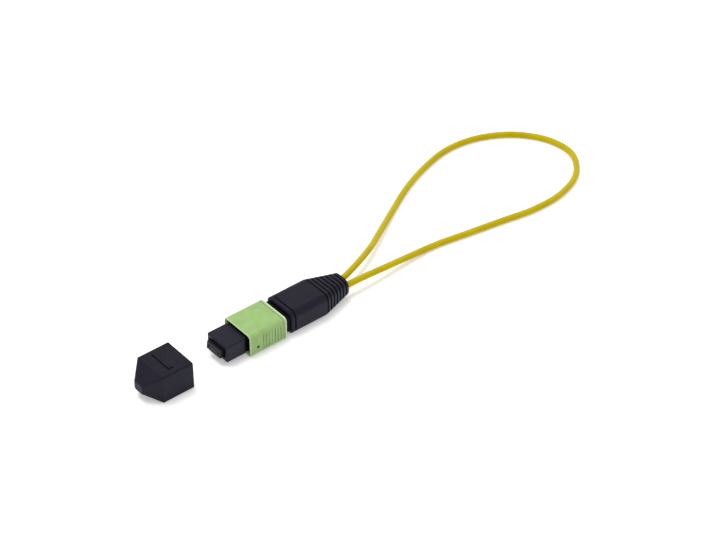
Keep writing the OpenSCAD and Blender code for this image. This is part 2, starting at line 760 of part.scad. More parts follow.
// One looped fibre: both of its ends, from the polished face back to the jacket
module fibre(k) {
    y0 = (6.5 - k) * fibre_pitch;
    a = BUNDLE_ANGLES[k - 1];
    y1 = leg_y + bundle_r * cos(a);
    z1 = bundle_r * sin(a);
    coat_x = face_x + fine_hole_l + 0.2;
    fan_x = ferrule_rear + ferrule_boot_out;
    steps = 10;
    fan = [
        for (i = [0:steps])
            let (t = i / steps, s = t * t * (3 - 2 * t))
            [fan_x + (barrel_rear - 2 - fan_x) * t, y0 + (y1 - y0) * s, axis_z + z1 * s]
    ];
    path = concat([[coat_x, y0, axis_z]], fan, [[barrel_rear, y1, axis_z + z1]]);
    color("#d9d4c8") for (side = [0, 1]) mirror([0, side, 0]) {
        translate([face_x, y0, axis_z]) rotate([0, 90, 0])
            cylinder(d = bare_d, h = coat_x - face_x, $fn = 16);
        tube(path, coat_d / 2, 6);
    }
}

module fibre_1() { fibre(1); }
module fibre_2() { fibre(2); }
module fibre_3() { fibre(3); }
module fibre_4() { fibre(4); }
module fibre_5() { fibre(5); }
module fibre_6() { fibre(6); }

dust_cap();
ferrule();
ferrule_boot();
pin_keeper();
ferrule_spring();
inner_housing();
coupling_sleeve();
coupling_spring_left();
coupling_spring_right();
rear_housing();
strength_yarn();
crimp_ring();
boot();
fibre_loop();
fibre_1();
fibre_2();
fibre_3();
fibre_4();
fibre_5();
fibre_6();
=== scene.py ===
"""Looks of a fibre loopback plug: a moulded nose with its ferrule, a green coupling sleeve, a ribbed
boot, the jacketed loop of fibre that goes back into it, and the dust cap that lies in front.
Lengths are in metres, in the part's own frame: +X from the nose to the loop, +Z up from the table."""

import json
import math

import bmesh
import bpy
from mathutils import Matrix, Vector


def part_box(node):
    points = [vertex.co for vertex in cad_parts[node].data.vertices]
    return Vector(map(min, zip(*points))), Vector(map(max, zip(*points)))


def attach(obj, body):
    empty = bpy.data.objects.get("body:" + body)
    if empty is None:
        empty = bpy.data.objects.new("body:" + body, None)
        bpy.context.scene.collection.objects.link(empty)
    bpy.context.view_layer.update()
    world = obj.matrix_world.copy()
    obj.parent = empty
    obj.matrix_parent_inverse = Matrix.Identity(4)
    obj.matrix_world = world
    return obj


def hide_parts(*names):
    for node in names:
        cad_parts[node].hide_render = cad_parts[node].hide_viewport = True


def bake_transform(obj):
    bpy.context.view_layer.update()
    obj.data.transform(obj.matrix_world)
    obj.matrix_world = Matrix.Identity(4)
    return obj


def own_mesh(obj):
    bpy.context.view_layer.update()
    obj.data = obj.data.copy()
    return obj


MM = 0.001
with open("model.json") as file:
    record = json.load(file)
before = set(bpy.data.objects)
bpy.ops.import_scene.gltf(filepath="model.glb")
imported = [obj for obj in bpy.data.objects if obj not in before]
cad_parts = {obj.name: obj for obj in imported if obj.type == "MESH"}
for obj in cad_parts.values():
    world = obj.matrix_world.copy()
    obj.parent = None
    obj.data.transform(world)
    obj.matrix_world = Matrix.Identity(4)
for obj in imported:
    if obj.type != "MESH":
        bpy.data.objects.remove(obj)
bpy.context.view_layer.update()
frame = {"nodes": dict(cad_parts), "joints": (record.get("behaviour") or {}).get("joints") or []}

# Places along the plug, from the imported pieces
FACE_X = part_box("ferrule")[0].x
BARREL_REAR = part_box("fibre_loop")[0].x
BOOT_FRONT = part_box("boot")[0].x
BOOT_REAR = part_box("boot")[1].x
AXIS_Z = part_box("coupling_sleeve")[0].lerp(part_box("coupling_sleeve")[1], 0.5).z

# Fibres: glass stripped of its coating at the front, and the coated length behind it
GLASS_D = 0.125 * MM
COAT_D = 0.22 * MM
COAT_X = FACE_X + 3.2 * MM
COAT_FADE = 0.02 * MM
FIBRE_ENDS = 12
FIBRE_PITCH = 0.25 * MM

# Jacket of the looped fibre
JACKET_D = 2 * MM
LEG_Y = 1.6 * MM

# The jacket's route from one hole in the boot's end round to the other: distance behind the boot,
# place across the plug, and height as a share, from 0 on the table to 1 at the plug's axis
ROUTE = [
    (0.007, 0.0035, 0.95), (0.018, 0.0085, 0.7), (0.0285, 0.015, 0.3), (0.039, 0.0215, 0),
    (0.050, 0.0275, 0), (0.0615, 0.032, 0), (0.073, 0.0345, 0), (0.0845, 0.033, 0),
    (0.095, 0.027, 0), (0.1015, 0.0175, 0), (0.102, 0.007, 0), (0.095, -0.002, 0),
    (0.084, -0.0065, 0), (0.072, -0.007, 0), (0.060, -0.005, 0), (0.048, -0.003, 0),
    (0.036, -0.001, 0), (0.025, -0.001, 0.3), (0.015, -0.0015, 0.7), (0.007, -0.0017, 0.95),
]


# ---- Camera, light and table ----

# Where the camera stands, how far it leans up from straight down, how far it turns from +Y, and its lens
CAMERA_PLACE = (-0.2778, -0.3799, 0.3965)
CAMERA_LEAN = math.radians(51.667)
CAMERA_TURN = math.radians(-39.765)
CAMERA_LENS_MM = 106.67

# Daylight from above, the light all round, and how much paler the table is seen than it is lit
DAYLIGHT = 1.55
DAYLIGHT_TOWARDS = (0.05, -0.3, -1.0)
DAYLIGHT_SPREAD = math.radians(30)
AMBIENT = 0.63
TABLE_LIFT = 0.3
TABLE_HALF = 3


def place_camera():
    camera = bpy.data.objects.new("camera", bpy.data.cameras.new("camera"))
    camera.data.lens = CAMERA_LENS_MM
    camera.data.sensor_width = 36
    camera.data.clip_start = 0.01
    camera.data.clip_end = 20
    camera.location = CAMERA_PLACE
    camera.rotation_euler = (CAMERA_LEAN, 0, CAMERA_TURN)
    bpy.context.scene.collection.objects.link(camera)
    bpy.context.scene.camera = camera


def high_window():
    """Broad soft daylight from above, which reflections leave out."""
    lamp = bpy.data.lights.new("daylight", "SUN")
    lamp.energy = DAYLIGHT
    lamp.angle = DAYLIGHT_SPREAD
    holder = bpy.data.objects.new("daylight", lamp)
    holder.rotation_euler = Vector(DAYLIGHT_TOWARDS).to_track_quat("-Z", "Y").to_euler()
    holder.visible_glossy = False
    bpy.context.scene.collection.objects.link(holder)


def where_seen(tree, hidden, seen):
    """Level that is hidden for the light on the object, and seen for the camera and for reflections."""
    path = tree.nodes.new("ShaderNodeLightPath")
    share = path.outputs["Is Camera Ray"]
    for ray in ("Is Glossy Ray", "Is Transmission Ray"):
        either = tree.nodes.new("ShaderNodeMath")
        either.operation = "MAXIMUM"
        tree.links.new(share, either.inputs[0])
        tree.links.new(path.outputs[ray], either.inputs[1])
        share = either.outputs["Value"]
    level = tree.nodes.new("ShaderNodeMapRange")
    level.inputs["To Min"].default_value = hidden
    level.inputs["To Max"].default_value = seen
    tree.links.new(share, level.inputs["Value"])
    return level.outputs["Result"]


def studio_world():
    """Even light all round, which the camera and reflections see as white."""
    world = bpy.data.worlds.new("studio")
    world.use_nodes = True
    tree = world.node_tree
    background = tree.nodes["Background"]
    background.inputs["Color"].default_value = (1, 1, 1, 1)
    tree.links.new(where_seen(tree, AMBIENT, 1), background.inputs["Strength"])
    bpy.context.scene.world = world


def lay_table():
    """White table, which the camera and reflections see a little paler than the light makes it."""
    corners = [(x * TABLE_HALF, y * TABLE_HALF, 0) for x, y in ((-1, -1), (1, -1), (1, 1), (-1, 1))]
    mesh = bpy.data.meshes.new("table")
    mesh.from_pydata(corners, [], [(0, 1, 2, 3)])
    table = bpy.data.objects.new("table", mesh)
    bpy.context.scene.collection.objects.link(table)
    white = bpy.data.materials.new("white_table")
    white.use_nodes = True
    tree = white.node_tree
    shader = tree.nodes["Principled BSDF"]
    shader.inputs["Base Color"].default_value = (0.97, 0.97, 0.97, 1)
    shader.inputs["Roughness"].default_value = 0.9
    shader.inputs["Specular IOR Level"].default_value = 0
    glow = tree.nodes.new("ShaderNodeEmission")
    tree.links.new(where_seen(tree, 0, TABLE_LIFT), glow.inputs["Strength"])
    both = tree.nodes.new("ShaderNodeAddShader")
    tree.links.new(shader.outputs["BSDF"], both.inputs[0])
    tree.links.new(glow.outputs["Emission"], both.inputs[1])
    tree.links.new(both.outputs["Shader"], tree.nodes["Material Output"].inputs["Surface"])
    mesh.materials.append(white)


# ---- Materials ----

# Tint of the sheen on the black mouldings
COOL = (0.78, 0.76, 1)

# What every moulding shows: the size of its flow marks, of its duller patches and of its tool grain,
# how much the patches differ in roughness, how deep the grain is, how wide the painted highlight along
# its edges is, and how far the painted shade in its recesses reaches
FLOW = 2.5 * MM
PATCH = 0.9 * MM
GRAIN = 0.12 * MM
PATCH_CONTRAST = 0.07
GRAIN_DEPTH = 0.004 * MM
EDGE_HIGHLIGHT = 0.15 * MM
RECESS_SHADE = 1.2 * MM


class Finish:
    """One node material, built up a step at a time on Object coordinates."""

    def __init__(self, name, roughness, specular=0.5, metallic=0.0, tint=(1, 1, 1)):
        self.material = bpy.data.materials.new(name)
        self.material.use_nodes = True
        self.nodes = self.material.node_tree.nodes
        self.links = self.material.node_tree.links
        self.shader = self.nodes["Principled BSDF"]
        self.shader.inputs["Roughness"].default_value = roughness
        self.shader.inputs["Specular IOR Level"].default_value = specular
        self.shader.inputs["Metallic"].default_value = metallic
        self.shader.inputs["Specular Tint"].default_value = (*tint, 1)
        self.place = self.nodes.new("ShaderNodeTexCoord").outputs["Object"]

    def noise(self, size, detail=2.0, stretch=(1, 1, 1)):
        """Grey noise whose lumps are about size metres across, longer where stretch is below 1."""
        mapping = self.nodes.new("ShaderNodeMapping")
        mapping.inputs["Scale"].default_value = stretch
        self.links.new(self.place, mapping.inputs["Vector"])
        noise = self.nodes.new("ShaderNodeTexNoise")
        noise.inputs["Scale"].default_value = 1 / size
        noise.inputs["Detail"].default_value = detail
        self.links.new(mapping.outputs["Vector"], noise.inputs["Vector"])
        return noise.outputs["Fac"]

    def spread(self, value, low, high, start=0.3, end=0.7):
        """Maps start to end of a value onto low to high."""
        node = self.nodes.new("ShaderNodeMapRange")
        node.inputs["From Min"].default_value = start
        node.inputs["From Max"].default_value = end
        node.inputs["To Min"].default_value = low
        node.inputs["To Max"].default_value = high
        self.links.new(value, node.inputs["Value"])
        return node.outputs["Result"]

    def between(self, share, colour_a, colour_b):
        """Colour between two colours, each a colour or another node's output."""
        mix = self.nodes.new("ShaderNodeMix")
        mix.data_type = "RGBA"
        self.links.new(share, mix.inputs["Factor"])
        for socket, colour in ((mix.inputs[6], colour_a), (mix.inputs[7], colour_b)):
            if isinstance(colour, bpy.types.NodeSocket):
                self.links.new(colour, socket)
            else:
                socket.default_value = (*colour, 1)
        return mix.outputs[2]

    def edges(self, width):
        """1 along sharp edges, within about width of them, and 0 elsewhere."""
        bevel = self.nodes.new("ShaderNodeBevel")
        bevel.samples = 6
        bevel.inputs["Radius"].default_value = width
        geometry = self.nodes.new("ShaderNodeNewGeometry")
        dot = self.nodes.new("ShaderNodeVectorMath")
        dot.operation = "DOT_PRODUCT"
        self.links.new(bevel.outputs["Normal"], dot.inputs[0])
        self.links.new(geometry.outputs["Normal"], dot.inputs[1])
        return self.spread(dot.outputs["Value"], 1, 0, 0.8, 0.99)

    def recesses(self, reach, deep=0.15, shallow=0.75):
        """1 in recesses about as wide as reach that are open by the share deep, down to 0 at shallow."""
        shade = self.nodes.new("ShaderNodeAmbientOcclusion")
        shade.samples = 8
        shade.inputs["Distance"].default_value = reach
        return self.spread(shade.outputs["AO"], 1, 0, deep, shallow)

    def colour(self, output):
        self.links.new(output, self.shader.inputs["Base Color"])

    def rough(self, output):
        self.links.new(output, self.shader.inputs["Roughness"])

    def bumps(self, height, depth):
        """Relief of a height pattern, depth metres deep."""
        bump = self.nodes.new("ShaderNodeBump")
        bump.inputs["Strength"].default_value = 1
        bump.inputs["Distance"].default_value = depth
        self.links.new(height, bump.inputs["Height"])
        self.links.new(bump.outputs["Normal"], self.shader.inputs["Normal"])

    def moulding(self, roughness):
        """Duller patches and the tool grain that every moulding has."""
        patches = self.noise(PATCH, 4)
        self.rough(self.spread(patches, roughness - PATCH_CONTRAST, roughness + PATCH_CONTRAST))
        self.bumps(self.noise(GRAIN, 2), GRAIN_DEPTH)


def scaled(colour, factor):
    return tuple(min(1.0, part * factor) for part in colour)


def moulded(name, colour, roughness, specular, highlight_gain, tint=(1, 1, 1)):
    """Moulded plastic: faint flow marks, a fine tool grain, a painted highlight paler along the edges and
    painted shade darker in the recesses.
    """
    finish = Finish(name, roughness, specular, tint=tint)
    flow = finish.spread(finish.noise(FLOW, 3), 0, 1)
    body = finish.between(flow, scaled(colour, 0.9), scaled(colour, 1.1))
    # Painted highlight: the colour grows paler along sharp edges, where light would catch them.
    edge_highlit = finish.between(finish.edges(EDGE_HIGHLIGHT), body, scaled(colour, highlight_gain))
    # Painted shade: the colour darkens towards a fifth of itself in recesses that ambient occlusion finds
    # shut in.
    finish.colour(finish.between(finish.recesses(RECESS_SHADE), edge_highlit, scaled(colour, 0.2)))
    finish.moulding(roughness)
    return finish.material


# Painted highlights on the sleeve: how wide the pale rim at each end is, over what length either side
# of that it fades, and how wide the paler band along its edges is
FRONT_RIM_HIGHLIGHT = 0.3 * MM
REAR_RIM_HIGHLIGHT = 0.5 * MM
RIM_HIGHLIGHT_FADE = 0.15 * MM
SLEEVE_EDGE_HIGHLIGHT = 0.2 * MM


def sleeve_finish():
    """Green moulding with painted highlights, paler on the thin rims at both ends and along its edges, and
    painted shade deep green in its recesses.
    """
    colour = (0.33, 0.515, 0.183)
    roughness = 0.4
    finish = Finish("green_sleeve", roughness, 0.25)
    low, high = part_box("coupling_sleeve")
    along = finish.nodes.new("ShaderNodeSeparateXYZ")
    finish.links.new(finish.place, along.inputs[0])
    flow = finish.spread(finish.noise(FLOW, 3), 0, 1)
    body = finish.between(flow, scaled(colour, 0.92), scaled(colour, 1.08))
    # Painted highlight: the colour turns pale on a thin rim at each end, where light catches the sleeve's
    # rims.
    rear = high.x - REAR_RIM_HIGHLIGHT
    front = low.x + FRONT_RIM_HIGHLIGHT
    behind = finish.spread(along.outputs["X"], 0, 1, rear - RIM_HIGHLIGHT_FADE, rear + RIM_HIGHLIGHT_FADE)
    ahead = finish.spread(along.outputs["X"], 0.7, 0, front - RIM_HIGHLIGHT_FADE, front + RIM_HIGHLIGHT_FADE)
    rims = finish.nodes.new("ShaderNodeMath")
    rims.operation = "MAXIMUM"
    finish.links.new(behind, rims.inputs[0])
    finish.links.new(ahead, rims.inputs[1])
    rim_highlit = finish.between(rims.outputs[0], body, (0.74, 0.88, 0.58))
    # Painted highlight: paler along sharp edges.
    edge_highlit = finish.between(finish.edges(SLEEVE_EDGE_HIGHLIGHT), rim_highlit, (0.55, 0.75, 0.38))
    # Painted shade: deep green in recesses that ambient occlusion finds shut in.
    finish.colour(finish.between(finish.recesses(RECESS_SHADE, 0.2, 0.5), edge_highlit, (0.02, 0.07, 0.01)))
    finish.moulding(roughness)
    return finish.material


def jacket_finish():
    """Extruded yellow jacket: soft uneven gloss, a faint grain and slight unevenness of colour."""
    colour = (0.55, 0.43, 0.003)
    finish = Finish("yellow_jacket", 0.38, 0.3, tint=(1, 0.85, 0.15))
    patches = finish.noise(6 * MM, 2)
    duller = finish.noise(0.8 * MM, 3)
    grain = finish.noise(0.3 * MM, 2)
    finish.colour(finish.between(finish.spread(patches, 0, 1), scaled(colour, 0.93), scaled(colour, 1.07)))
    finish.rough(finish.spread(duller, 0.32, 0.46))
    finish.bumps(grain, 0.01 * MM)
    return finish.material


def metal(name, colour, roughness, lines=(1, 1, 1)):
    """Bright metal with fine marks, which are drawn out where lines is below 1."""
    finish = Finish(name, roughness, 0.5, 1.0)
    marks = finish.noise(0.2 * MM, 4, lines)
    grain = finish.noise(0.05 * MM, 2, lines)
    finish.colour(finish.between(finish.spread(marks, 0, 1), scaled(colour, 0.85), colour))
    finish.rough(finish.spread(marks, roughness - 0.06, roughness + 0.08))
    finish.bumps(grain, 0.002 * MM)
    return finish.material


def glass_finish():
    """Coated glass fibre, bare and darker where it is stripped in the front of the ferrule."""
    finish = Finish("glass_fibre", 0.2, 0.5)
    along = finish.nodes.new("ShaderNodeSeparateXYZ")
    finish.links.new(finish.place, along.inputs[0])
    coated = finish.spread(along.outputs["X"], 0, 1, COAT_X - COAT_FADE, COAT_X)
    drawn = finish.spread(finish.noise(0.4 * MM, 2, (0.2, 1, 1)), 0, 1)
    coat = finish.between(drawn, (0.7, 0.67, 0.6), (0.8, 0.78, 0.72))
    finish.colour(finish.between(coated, (0.10, 0.10, 0.11), coat))
    finish.rough(finish.spread(drawn, 0.15, 0.28))
    return finish.material


def make_materials():
    return {
        "black_housing": moulded("black_housing", (0.0075, 0.0072, 0.0145), 0.42, 0.24, 2.2, tint=COOL),
        "black_boot": moulded("black_boot", (0.006, 0.0057, 0.0115), 0.5, 0.23, 2.2, tint=COOL),
        "cap_plastic": moulded("cap_plastic", (0.0075, 0.0072, 0.0135), 0.55, 0.21, 1.6, tint=COOL),
        "ferrule_compound": moulded("ferrule_compound", (0.008, 0.008, 0.0125), 0.4, 0.18, 2.5, tint=COOL),
        "green_sleeve": sleeve_finish(),
        "yellow_jacket": jacket_finish(),
        "yarn": moulded("yarn", (0.72, 0.55, 0.16), 0.6, 0.3, 1.1),
        "spring_wire": metal("spring_wire", (0.62, 0.62, 0.64), 0.25),
        "ring_metal": metal("ring_metal", (0.62, 0.6, 0.56), 0.3, (0.1, 1, 1)),
        "ferrule_rubber": moulded("ferrule_rubber", (0.16, 0.17, 0.18), 0.6, 0.3, 1.2),
        "keeper_plastic": moulded("keeper_plastic", (0.55, 0.55, 0.52), 0.45, 0.4, 1.1),
        "glass_fibre": glass_finish(),
    }


# ---- Pieces ----

def finish_piece(piece, body, slot, *nodes):
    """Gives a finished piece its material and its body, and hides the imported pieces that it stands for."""
    dress(piece, slot, *nodes)
    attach(piece, body)
    return piece


def dress(piece, slot, *nodes):
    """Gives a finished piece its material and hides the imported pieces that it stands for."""
    piece.data.materials.clear()
    piece.data.materials.append(MATERIALS[slot])
    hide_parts(*nodes)


def linked(name, data):
    piece = bpy.data.objects.new(name, data)
    bpy.context.scene.collection.objects.link(piece)
    return piece


def whole_copy(node, name):
    """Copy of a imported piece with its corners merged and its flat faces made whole."""
    source = frame["nodes"][node].data
    mesh = bpy.data.meshes.new(name)
    mesh.from_pydata([v.co for v in source.vertices], [], [p.vertices[:] for p in source.polygons])
    shape = bmesh.new()
    shape.from_mesh(mesh)
    bmesh.ops.remove_doubles(shape, verts=shape.verts, dist=0.002 * MM)
    bmesh.ops.dissolve_limit(shape, angle_limit=math.radians(1), verts=shape.verts, edges=shape.edges)
    shape.to_mesh(mesh)
    shape.free()
    return linked(name, mesh)


def soften(piece, width, segments=3, angle=35):
    """Rounds a moulding's edges."""
    for face in piece.data.polygons:
        face.use_smooth = True
    bevel = piece.modifiers.new("rounded_edges", "BEVEL")
    bevel.width = width
    bevel.segments = segments
    bevel.limit_method = "ANGLE"
    bevel.angle_limit = math.radians(angle)
    bevel.harden_normals = True
    shading = piece.modifiers.new("flat_faces", "WEIGHTED_NORMAL")
    shading.keep_sharp = False
    shading.weight = 80
    return piece


def softened(node, name, body, slot, width):
    """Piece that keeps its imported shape, apart from rounded edges."""
    return finish_piece(soften(whole_copy(node, name), width), body, slot, node)


def travel(joint):
    """How far a slide joint moves, in metres."""
    return next(j["range_m"][1] for j in frame["joints"] if j["name"] == joint)


# ---- Outlines, solids and cuts ----

# How far a cutter reaches beyond an open end, and how far past a side that it cuts
BEYOND = 1 * MM
PAST = 0.2 * MM


def rounded_outline(width, height, corner, steps=8):
    """Rounded rectangle about the plug's axis."""
    outline = []
    for k in range(4):
        side_y = 1 if k in (0, 3) else -1
        side_z = 1 if k < 2 else -1
        for i in range(steps + 1):
            angle = math.radians(90 * (k + i / steps))
            outline.append((side_y * (width / 2 - corner) + corner * math.cos(angle),
                            AXIS_Z + side_z * (height / 2 - corner) + corner * math.sin(angle)))
    return outline


def round_outline(y, z, radius, steps=32):
    """Circle about a place in Y and Z."""
    return [(y + radius * math.cos(math.tau * i / steps), z + radius * math.sin(math.tau * i / steps))
            for i in range(steps)]


def prism(name, x0, x1, outline, end=None):
    """Closed solid from x0 to x1; its outlines in Y and Z run anticlockwise seen from +X."""
    end = end or outline
    count = len(outline)
    points = [(x, y, z) for x, rim in ((x0, outline), (x1, end)) for y, z in rim]
    walls = [(i, (i + 1) % count, count + (i + 1) % count, count + i) for i in range(count)]
    mesh = bpy.data.meshes.new(name)
    mesh.from_pydata(points, [], [*walls, tuple(range(count - 1, -1, -1)), tuple(range(count, 2 * count))])
    return linked(name, mesh)


def cut_away(piece, cutters):
    """Takes the cutters out of a piece and deletes them."""
    for cutter in cutters:
        cut = piece.modifiers.new("cut", "BOOLEAN")
        cut.operation = "DIFFERENCE"
        cut.solver = "EXACT"
        cut.object = cutter
    evaluated = piece.evaluated_get(bpy.context.evaluated_depsgraph_get())
    mesh = bpy.data.meshes.new_from_object(evaluated)
    piece.modifiers.clear()
    piece.data = mesh
    for cutter in cutters:
        bpy.data.objects.remove(cutter)
    return piece


def close_ends(piece):
    """Fills the open ends of a skin and turns its faces outwards."""
    shape = bmesh.new()
    shape.from_mesh(piece.data)
    bmesh.ops.holes_fill(shape, edges=[edge for edge in shape.edges if edge.is_boundary])
    bmesh.ops.recalc_face_normals(shape, faces=shape.faces)
    shape.to_mesh(piece.data)
    shape.free()


# ---- Trees that grow what repeats or follows a rule ----

class Tree:
    """Geometry Nodes tree with named sizes, built up a step at a time."""

    def __init__(self, name, *sizes, counts=()):
        self.tree = bpy.data.node_groups.new(name, "GeometryNodeTree")
        for label in sizes:
            self.tree.interface.new_socket(label, in_out="INPUT", socket_type="NodeSocketFloat")
        for label in counts:
            self.tree.interface.new_socket(label, in_out="INPUT", socket_type="NodeSocketInt")
        self.tree.interface.new_socket("Mesh", in_out="OUTPUT", socket_type="NodeSocketGeometry")
        self.given = self.tree.nodes.new("NodeGroupInput").outputs
        self.result = self.tree.nodes.new("NodeGroupOutput").inputs["Mesh"]

    def put(self, value, socket):
        """Links an output to a socket, or sets the socket to a value."""
        if isinstance(value, bpy.types.NodeSocket):
            self.tree.links.new(value, socket)
        else:
            socket.default_value = value

    def node(self, kind, inputs=(), output=0, **settings):
        """New node with its settings and inputs; returns one of its outputs."""
        node = self.tree.nodes.new(kind)
        for key, value in settings.items():
            setattr(node, key, value)
        for key, value in dict(inputs).items():
            self.put(value, node.inputs[key])
        return node.outputs[output]

    def maths(self, operation, a, b=0.0):
        return self.node("ShaderNodeMath", {0: a, 1: b}, operation=operation)

    def add(self, a, b):
        return self.maths("ADD", a, b)

    def times(self, a, b):
        return self.maths("MULTIPLY", a, b)

    def less(self, a, b):
        return self.maths("SUBTRACT", a, b)

    def ramp(self, value, start, end, low=0.0, high=1.0, kind="SMOOTHSTEP"):
        """Maps start to end of a value onto low to high, and holds it there beyond them."""
        inputs = {"Value": value, "From Min": start, "From Max": end, "To Min": low, "To Max": high}
        return self.node("ShaderNodeMapRange", inputs, "Result", interpolation_type=kind)

    def vector(self, x, y, z):
        return self.node("ShaderNodeCombineXYZ", {"X": x, "Y": y, "Z": z})

    def line(self, count):
        """Curve of count points; returns it and each point's share of the way along."""
        line = self.node("GeometryNodeCurvePrimitiveLine", {"End": (1, 0, 0)})
        points = self.node("GeometryNodeResampleCurve", {"Curve": line, "Count": count})
        return points, self.node("GeometryNodeSplineParameter", output="Factor")

    def moved(self, geometry, position):
        return self.node("GeometryNodeSetPosition", {"Geometry": geometry, "Position": position})

    def swept(self, curve, thickness, sides):
        """Round rod along a curve, closed at its ends."""
        rim = self.node("GeometryNodeCurvePrimitiveCircle",
                        {"Resolution": sides, "Radius": self.times(thickness, 0.5)})
        return self.node("GeometryNodeCurveToMesh", {"Curve": curve, "Profile Curve": rim, "Fill Caps": True})

    def finish(self, geometry, slot):
        smooth = self.node("GeometryNodeSetShadeSmooth", {"Geometry": geometry, "Shade Smooth": True})
        real = self.node("GeometryNodeRealizeInstances", {"Geometry": smooth})
        dressed = self.node("GeometryNodeSetMaterial", {"Geometry": real, "Material": MATERIALS[slot]})
        self.put(dressed, self.result)
        return self.tree


def grown(name, tree, sizes):
    """Plain mesh piece that a tree makes from a set of sizes."""
    piece = linked(name, bpy.data.meshes.new(name + "_seed"))
    growth = piece.modifiers.new(tree.name, "NODES")
    growth.node_group = tree
    for socket in tree.interface.items_tree:
        if socket.in_out == "INPUT":
            growth[socket.identifier] = sizes[socket.name]
    evaluated = piece.evaluated_get(bpy.context.evaluated_depsgraph_get())
    mesh = bpy.data.meshes.new_from_object(evaluated)
    piece.modifiers.remove(growth)
    piece.data = mesh
    mesh.name = name
    return piece


# ---- Springs ----

STEPS_PER_TURN = 40
# How much closer the end turns lie than an even coil's, as a share
CLOSING = 0.5


def coil_tree():
    """Oval coil spring along X, whose end turns lie closer together."""
    tree = Tree("coil_spring", "Start", "End", "Width", "Height", "Wire", "Turns", "Centre Y", "Centre Z",
                counts=("Steps", "Sides"))
    size = tree.given
    curve, share = tree.line(size["Steps"])
    swing = tree.times(tree.maths("SINE", tree.times(share, math.tau)), -CLOSING / math.tau)
    climb = tree.less(tree.less(size["End"], size["Start"]), size["Wire"])
    first = tree.add(size["Start"], tree.times(size["Wire"], 0.5))
    x = tree.add(first, tree.times(climb, tree.add(share, swing)))
    angle = tree.times(tree.times(share, size["Turns"]), math.tau)
    half_w = tree.times(tree.less(size["Width"], size["Wire"]), 0.5)
    half_h = tree.times(tree.less(size["Height"], size["Wire"]), 0.5)
    y = tree.add(size["Centre Y"], tree.times(half_w, tree.maths("COSINE", angle)))
    z = tree.add(size["Centre Z"], tree.times(half_h, tree.maths("SINE", angle)))
    coil = tree.moved(curve, tree.vector(x, y, z))
    return tree.finish(tree.swept(coil, size["Wire"], size["Sides"]), "spring_wire")


def make_spring(node, name, tree, wire, turns):
    """Coil in the place of a packed spring."""
    low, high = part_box(node)
    middle = (low + high) / 2
    spring = grown(name, tree, {
        "Start": low.x, "End": high.x, "Width": high.y - low.y, "Height": high.z - low.z, "Wire": wire,
        "Turns": turns, "Centre Y": middle.y, "Centre Z": AXIS_Z, "Steps": round(turns * STEPS_PER_TURN),
        "Sides": 12})
    finish_piece(spring, "plug", "spring_wire", node)
    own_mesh(spring)


def make_springs():
    tree = coil_tree()
    make_spring("ferrule_spring", "ferrule_coil", tree, wire=0.5 * MM, turns=5.5)
    for side in ("left", "right"):
        make_spring(f"coupling_spring_{side}", f"coupling_coil_{side}", tree,
                    wire=0.2 * MM, turns=8)


# ---- Fibres ----

# Place of each looped fibre in its jacket: six in a ring round the jacket's middle
BUNDLE_R = 0.32 * MM
BUNDLE_ANGLES = (0, 60, -60, 120, -120, 180)
# Straight length of the fibres before the barrel's end
STRAIGHT_END = 2 * MM


def fibre_tree():
    """Both ends of one looped fibre: bare in the ferrule, then coated and fanned out to its jacket."""
    tree = Tree("looped_fibre", "Face X", "Coat X", "Fan X", "Fan End X", "End X", "Lane Y", "Leg Y",
                "Centre Z", "Leg Z", "Glass", "Coat", counts=("Steps", "Sides"))
    size = tree.given
    ends = tree.node("GeometryNodeJoinGeometry")
    join = ends.node.inputs[0]
    for side in (1, -1):
        curve, share = tree.line(size["Steps"])
        x = tree.ramp(share, 0, 1, size["Coat X"], size["End X"], "LINEAR")
        fan = tree.ramp(x, size["Fan X"], size["Fan End X"])
        y = tree.times(tree.ramp(fan, 0, 1, size["Lane Y"], size["Leg Y"], "LINEAR"), side)
        z = tree.add(size["Centre Z"], tree.times(fan, size["Leg Z"]))
        coated = tree.moved(curve, tree.vector(x, y, z))
        tree.put(tree.swept(coated, size["Coat"], size["Sides"]), join)
        lane = tree.times(size["Lane Y"], side)
        bare = tree.node("GeometryNodeCurvePrimitiveLine", {
            "Start": tree.vector(size["Face X"], lane, size["Centre Z"]),
            "End": tree.vector(size["Coat X"], lane, size["Centre Z"])})
        tree.put(tree.swept(bare, size["Glass"], size["Sides"]), join)
    return tree.finish(ends, "glass_fibre")


def make_fibres():
    tree = fibre_tree()
    fan_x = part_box("ferrule_boot")[1].x
    for k, degrees in enumerate(BUNDLE_ANGLES):
        angle = math.radians(degrees)
        fibre = grown(f"looped_fibre_{k + 1}", tree, {
            "Face X": FACE_X, "Coat X": COAT_X, "Fan X": fan_x, "Fan End X": BARREL_REAR - STRAIGHT_END,
            "End X": BARREL_REAR, "Lane Y": ((FIBRE_ENDS - 1) / 2 - k) * FIBRE_PITCH,
            "Leg Y": LEG_Y + BUNDLE_R * math.cos(angle), "Leg Z": BUNDLE_R * math.sin(angle),
            "Centre Z": AXIS_Z, "Glass": GLASS_D, "Coat": COAT_D, "Steps": 40, "Sides": 10})
        dress(fibre, "glass_fibre", f"fibre_{k + 1}")
        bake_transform(fibre)


# ---- Yarn ----

STRAND = 0.19 * MM
# How many times a strand wavers along its length
WAVES = 2


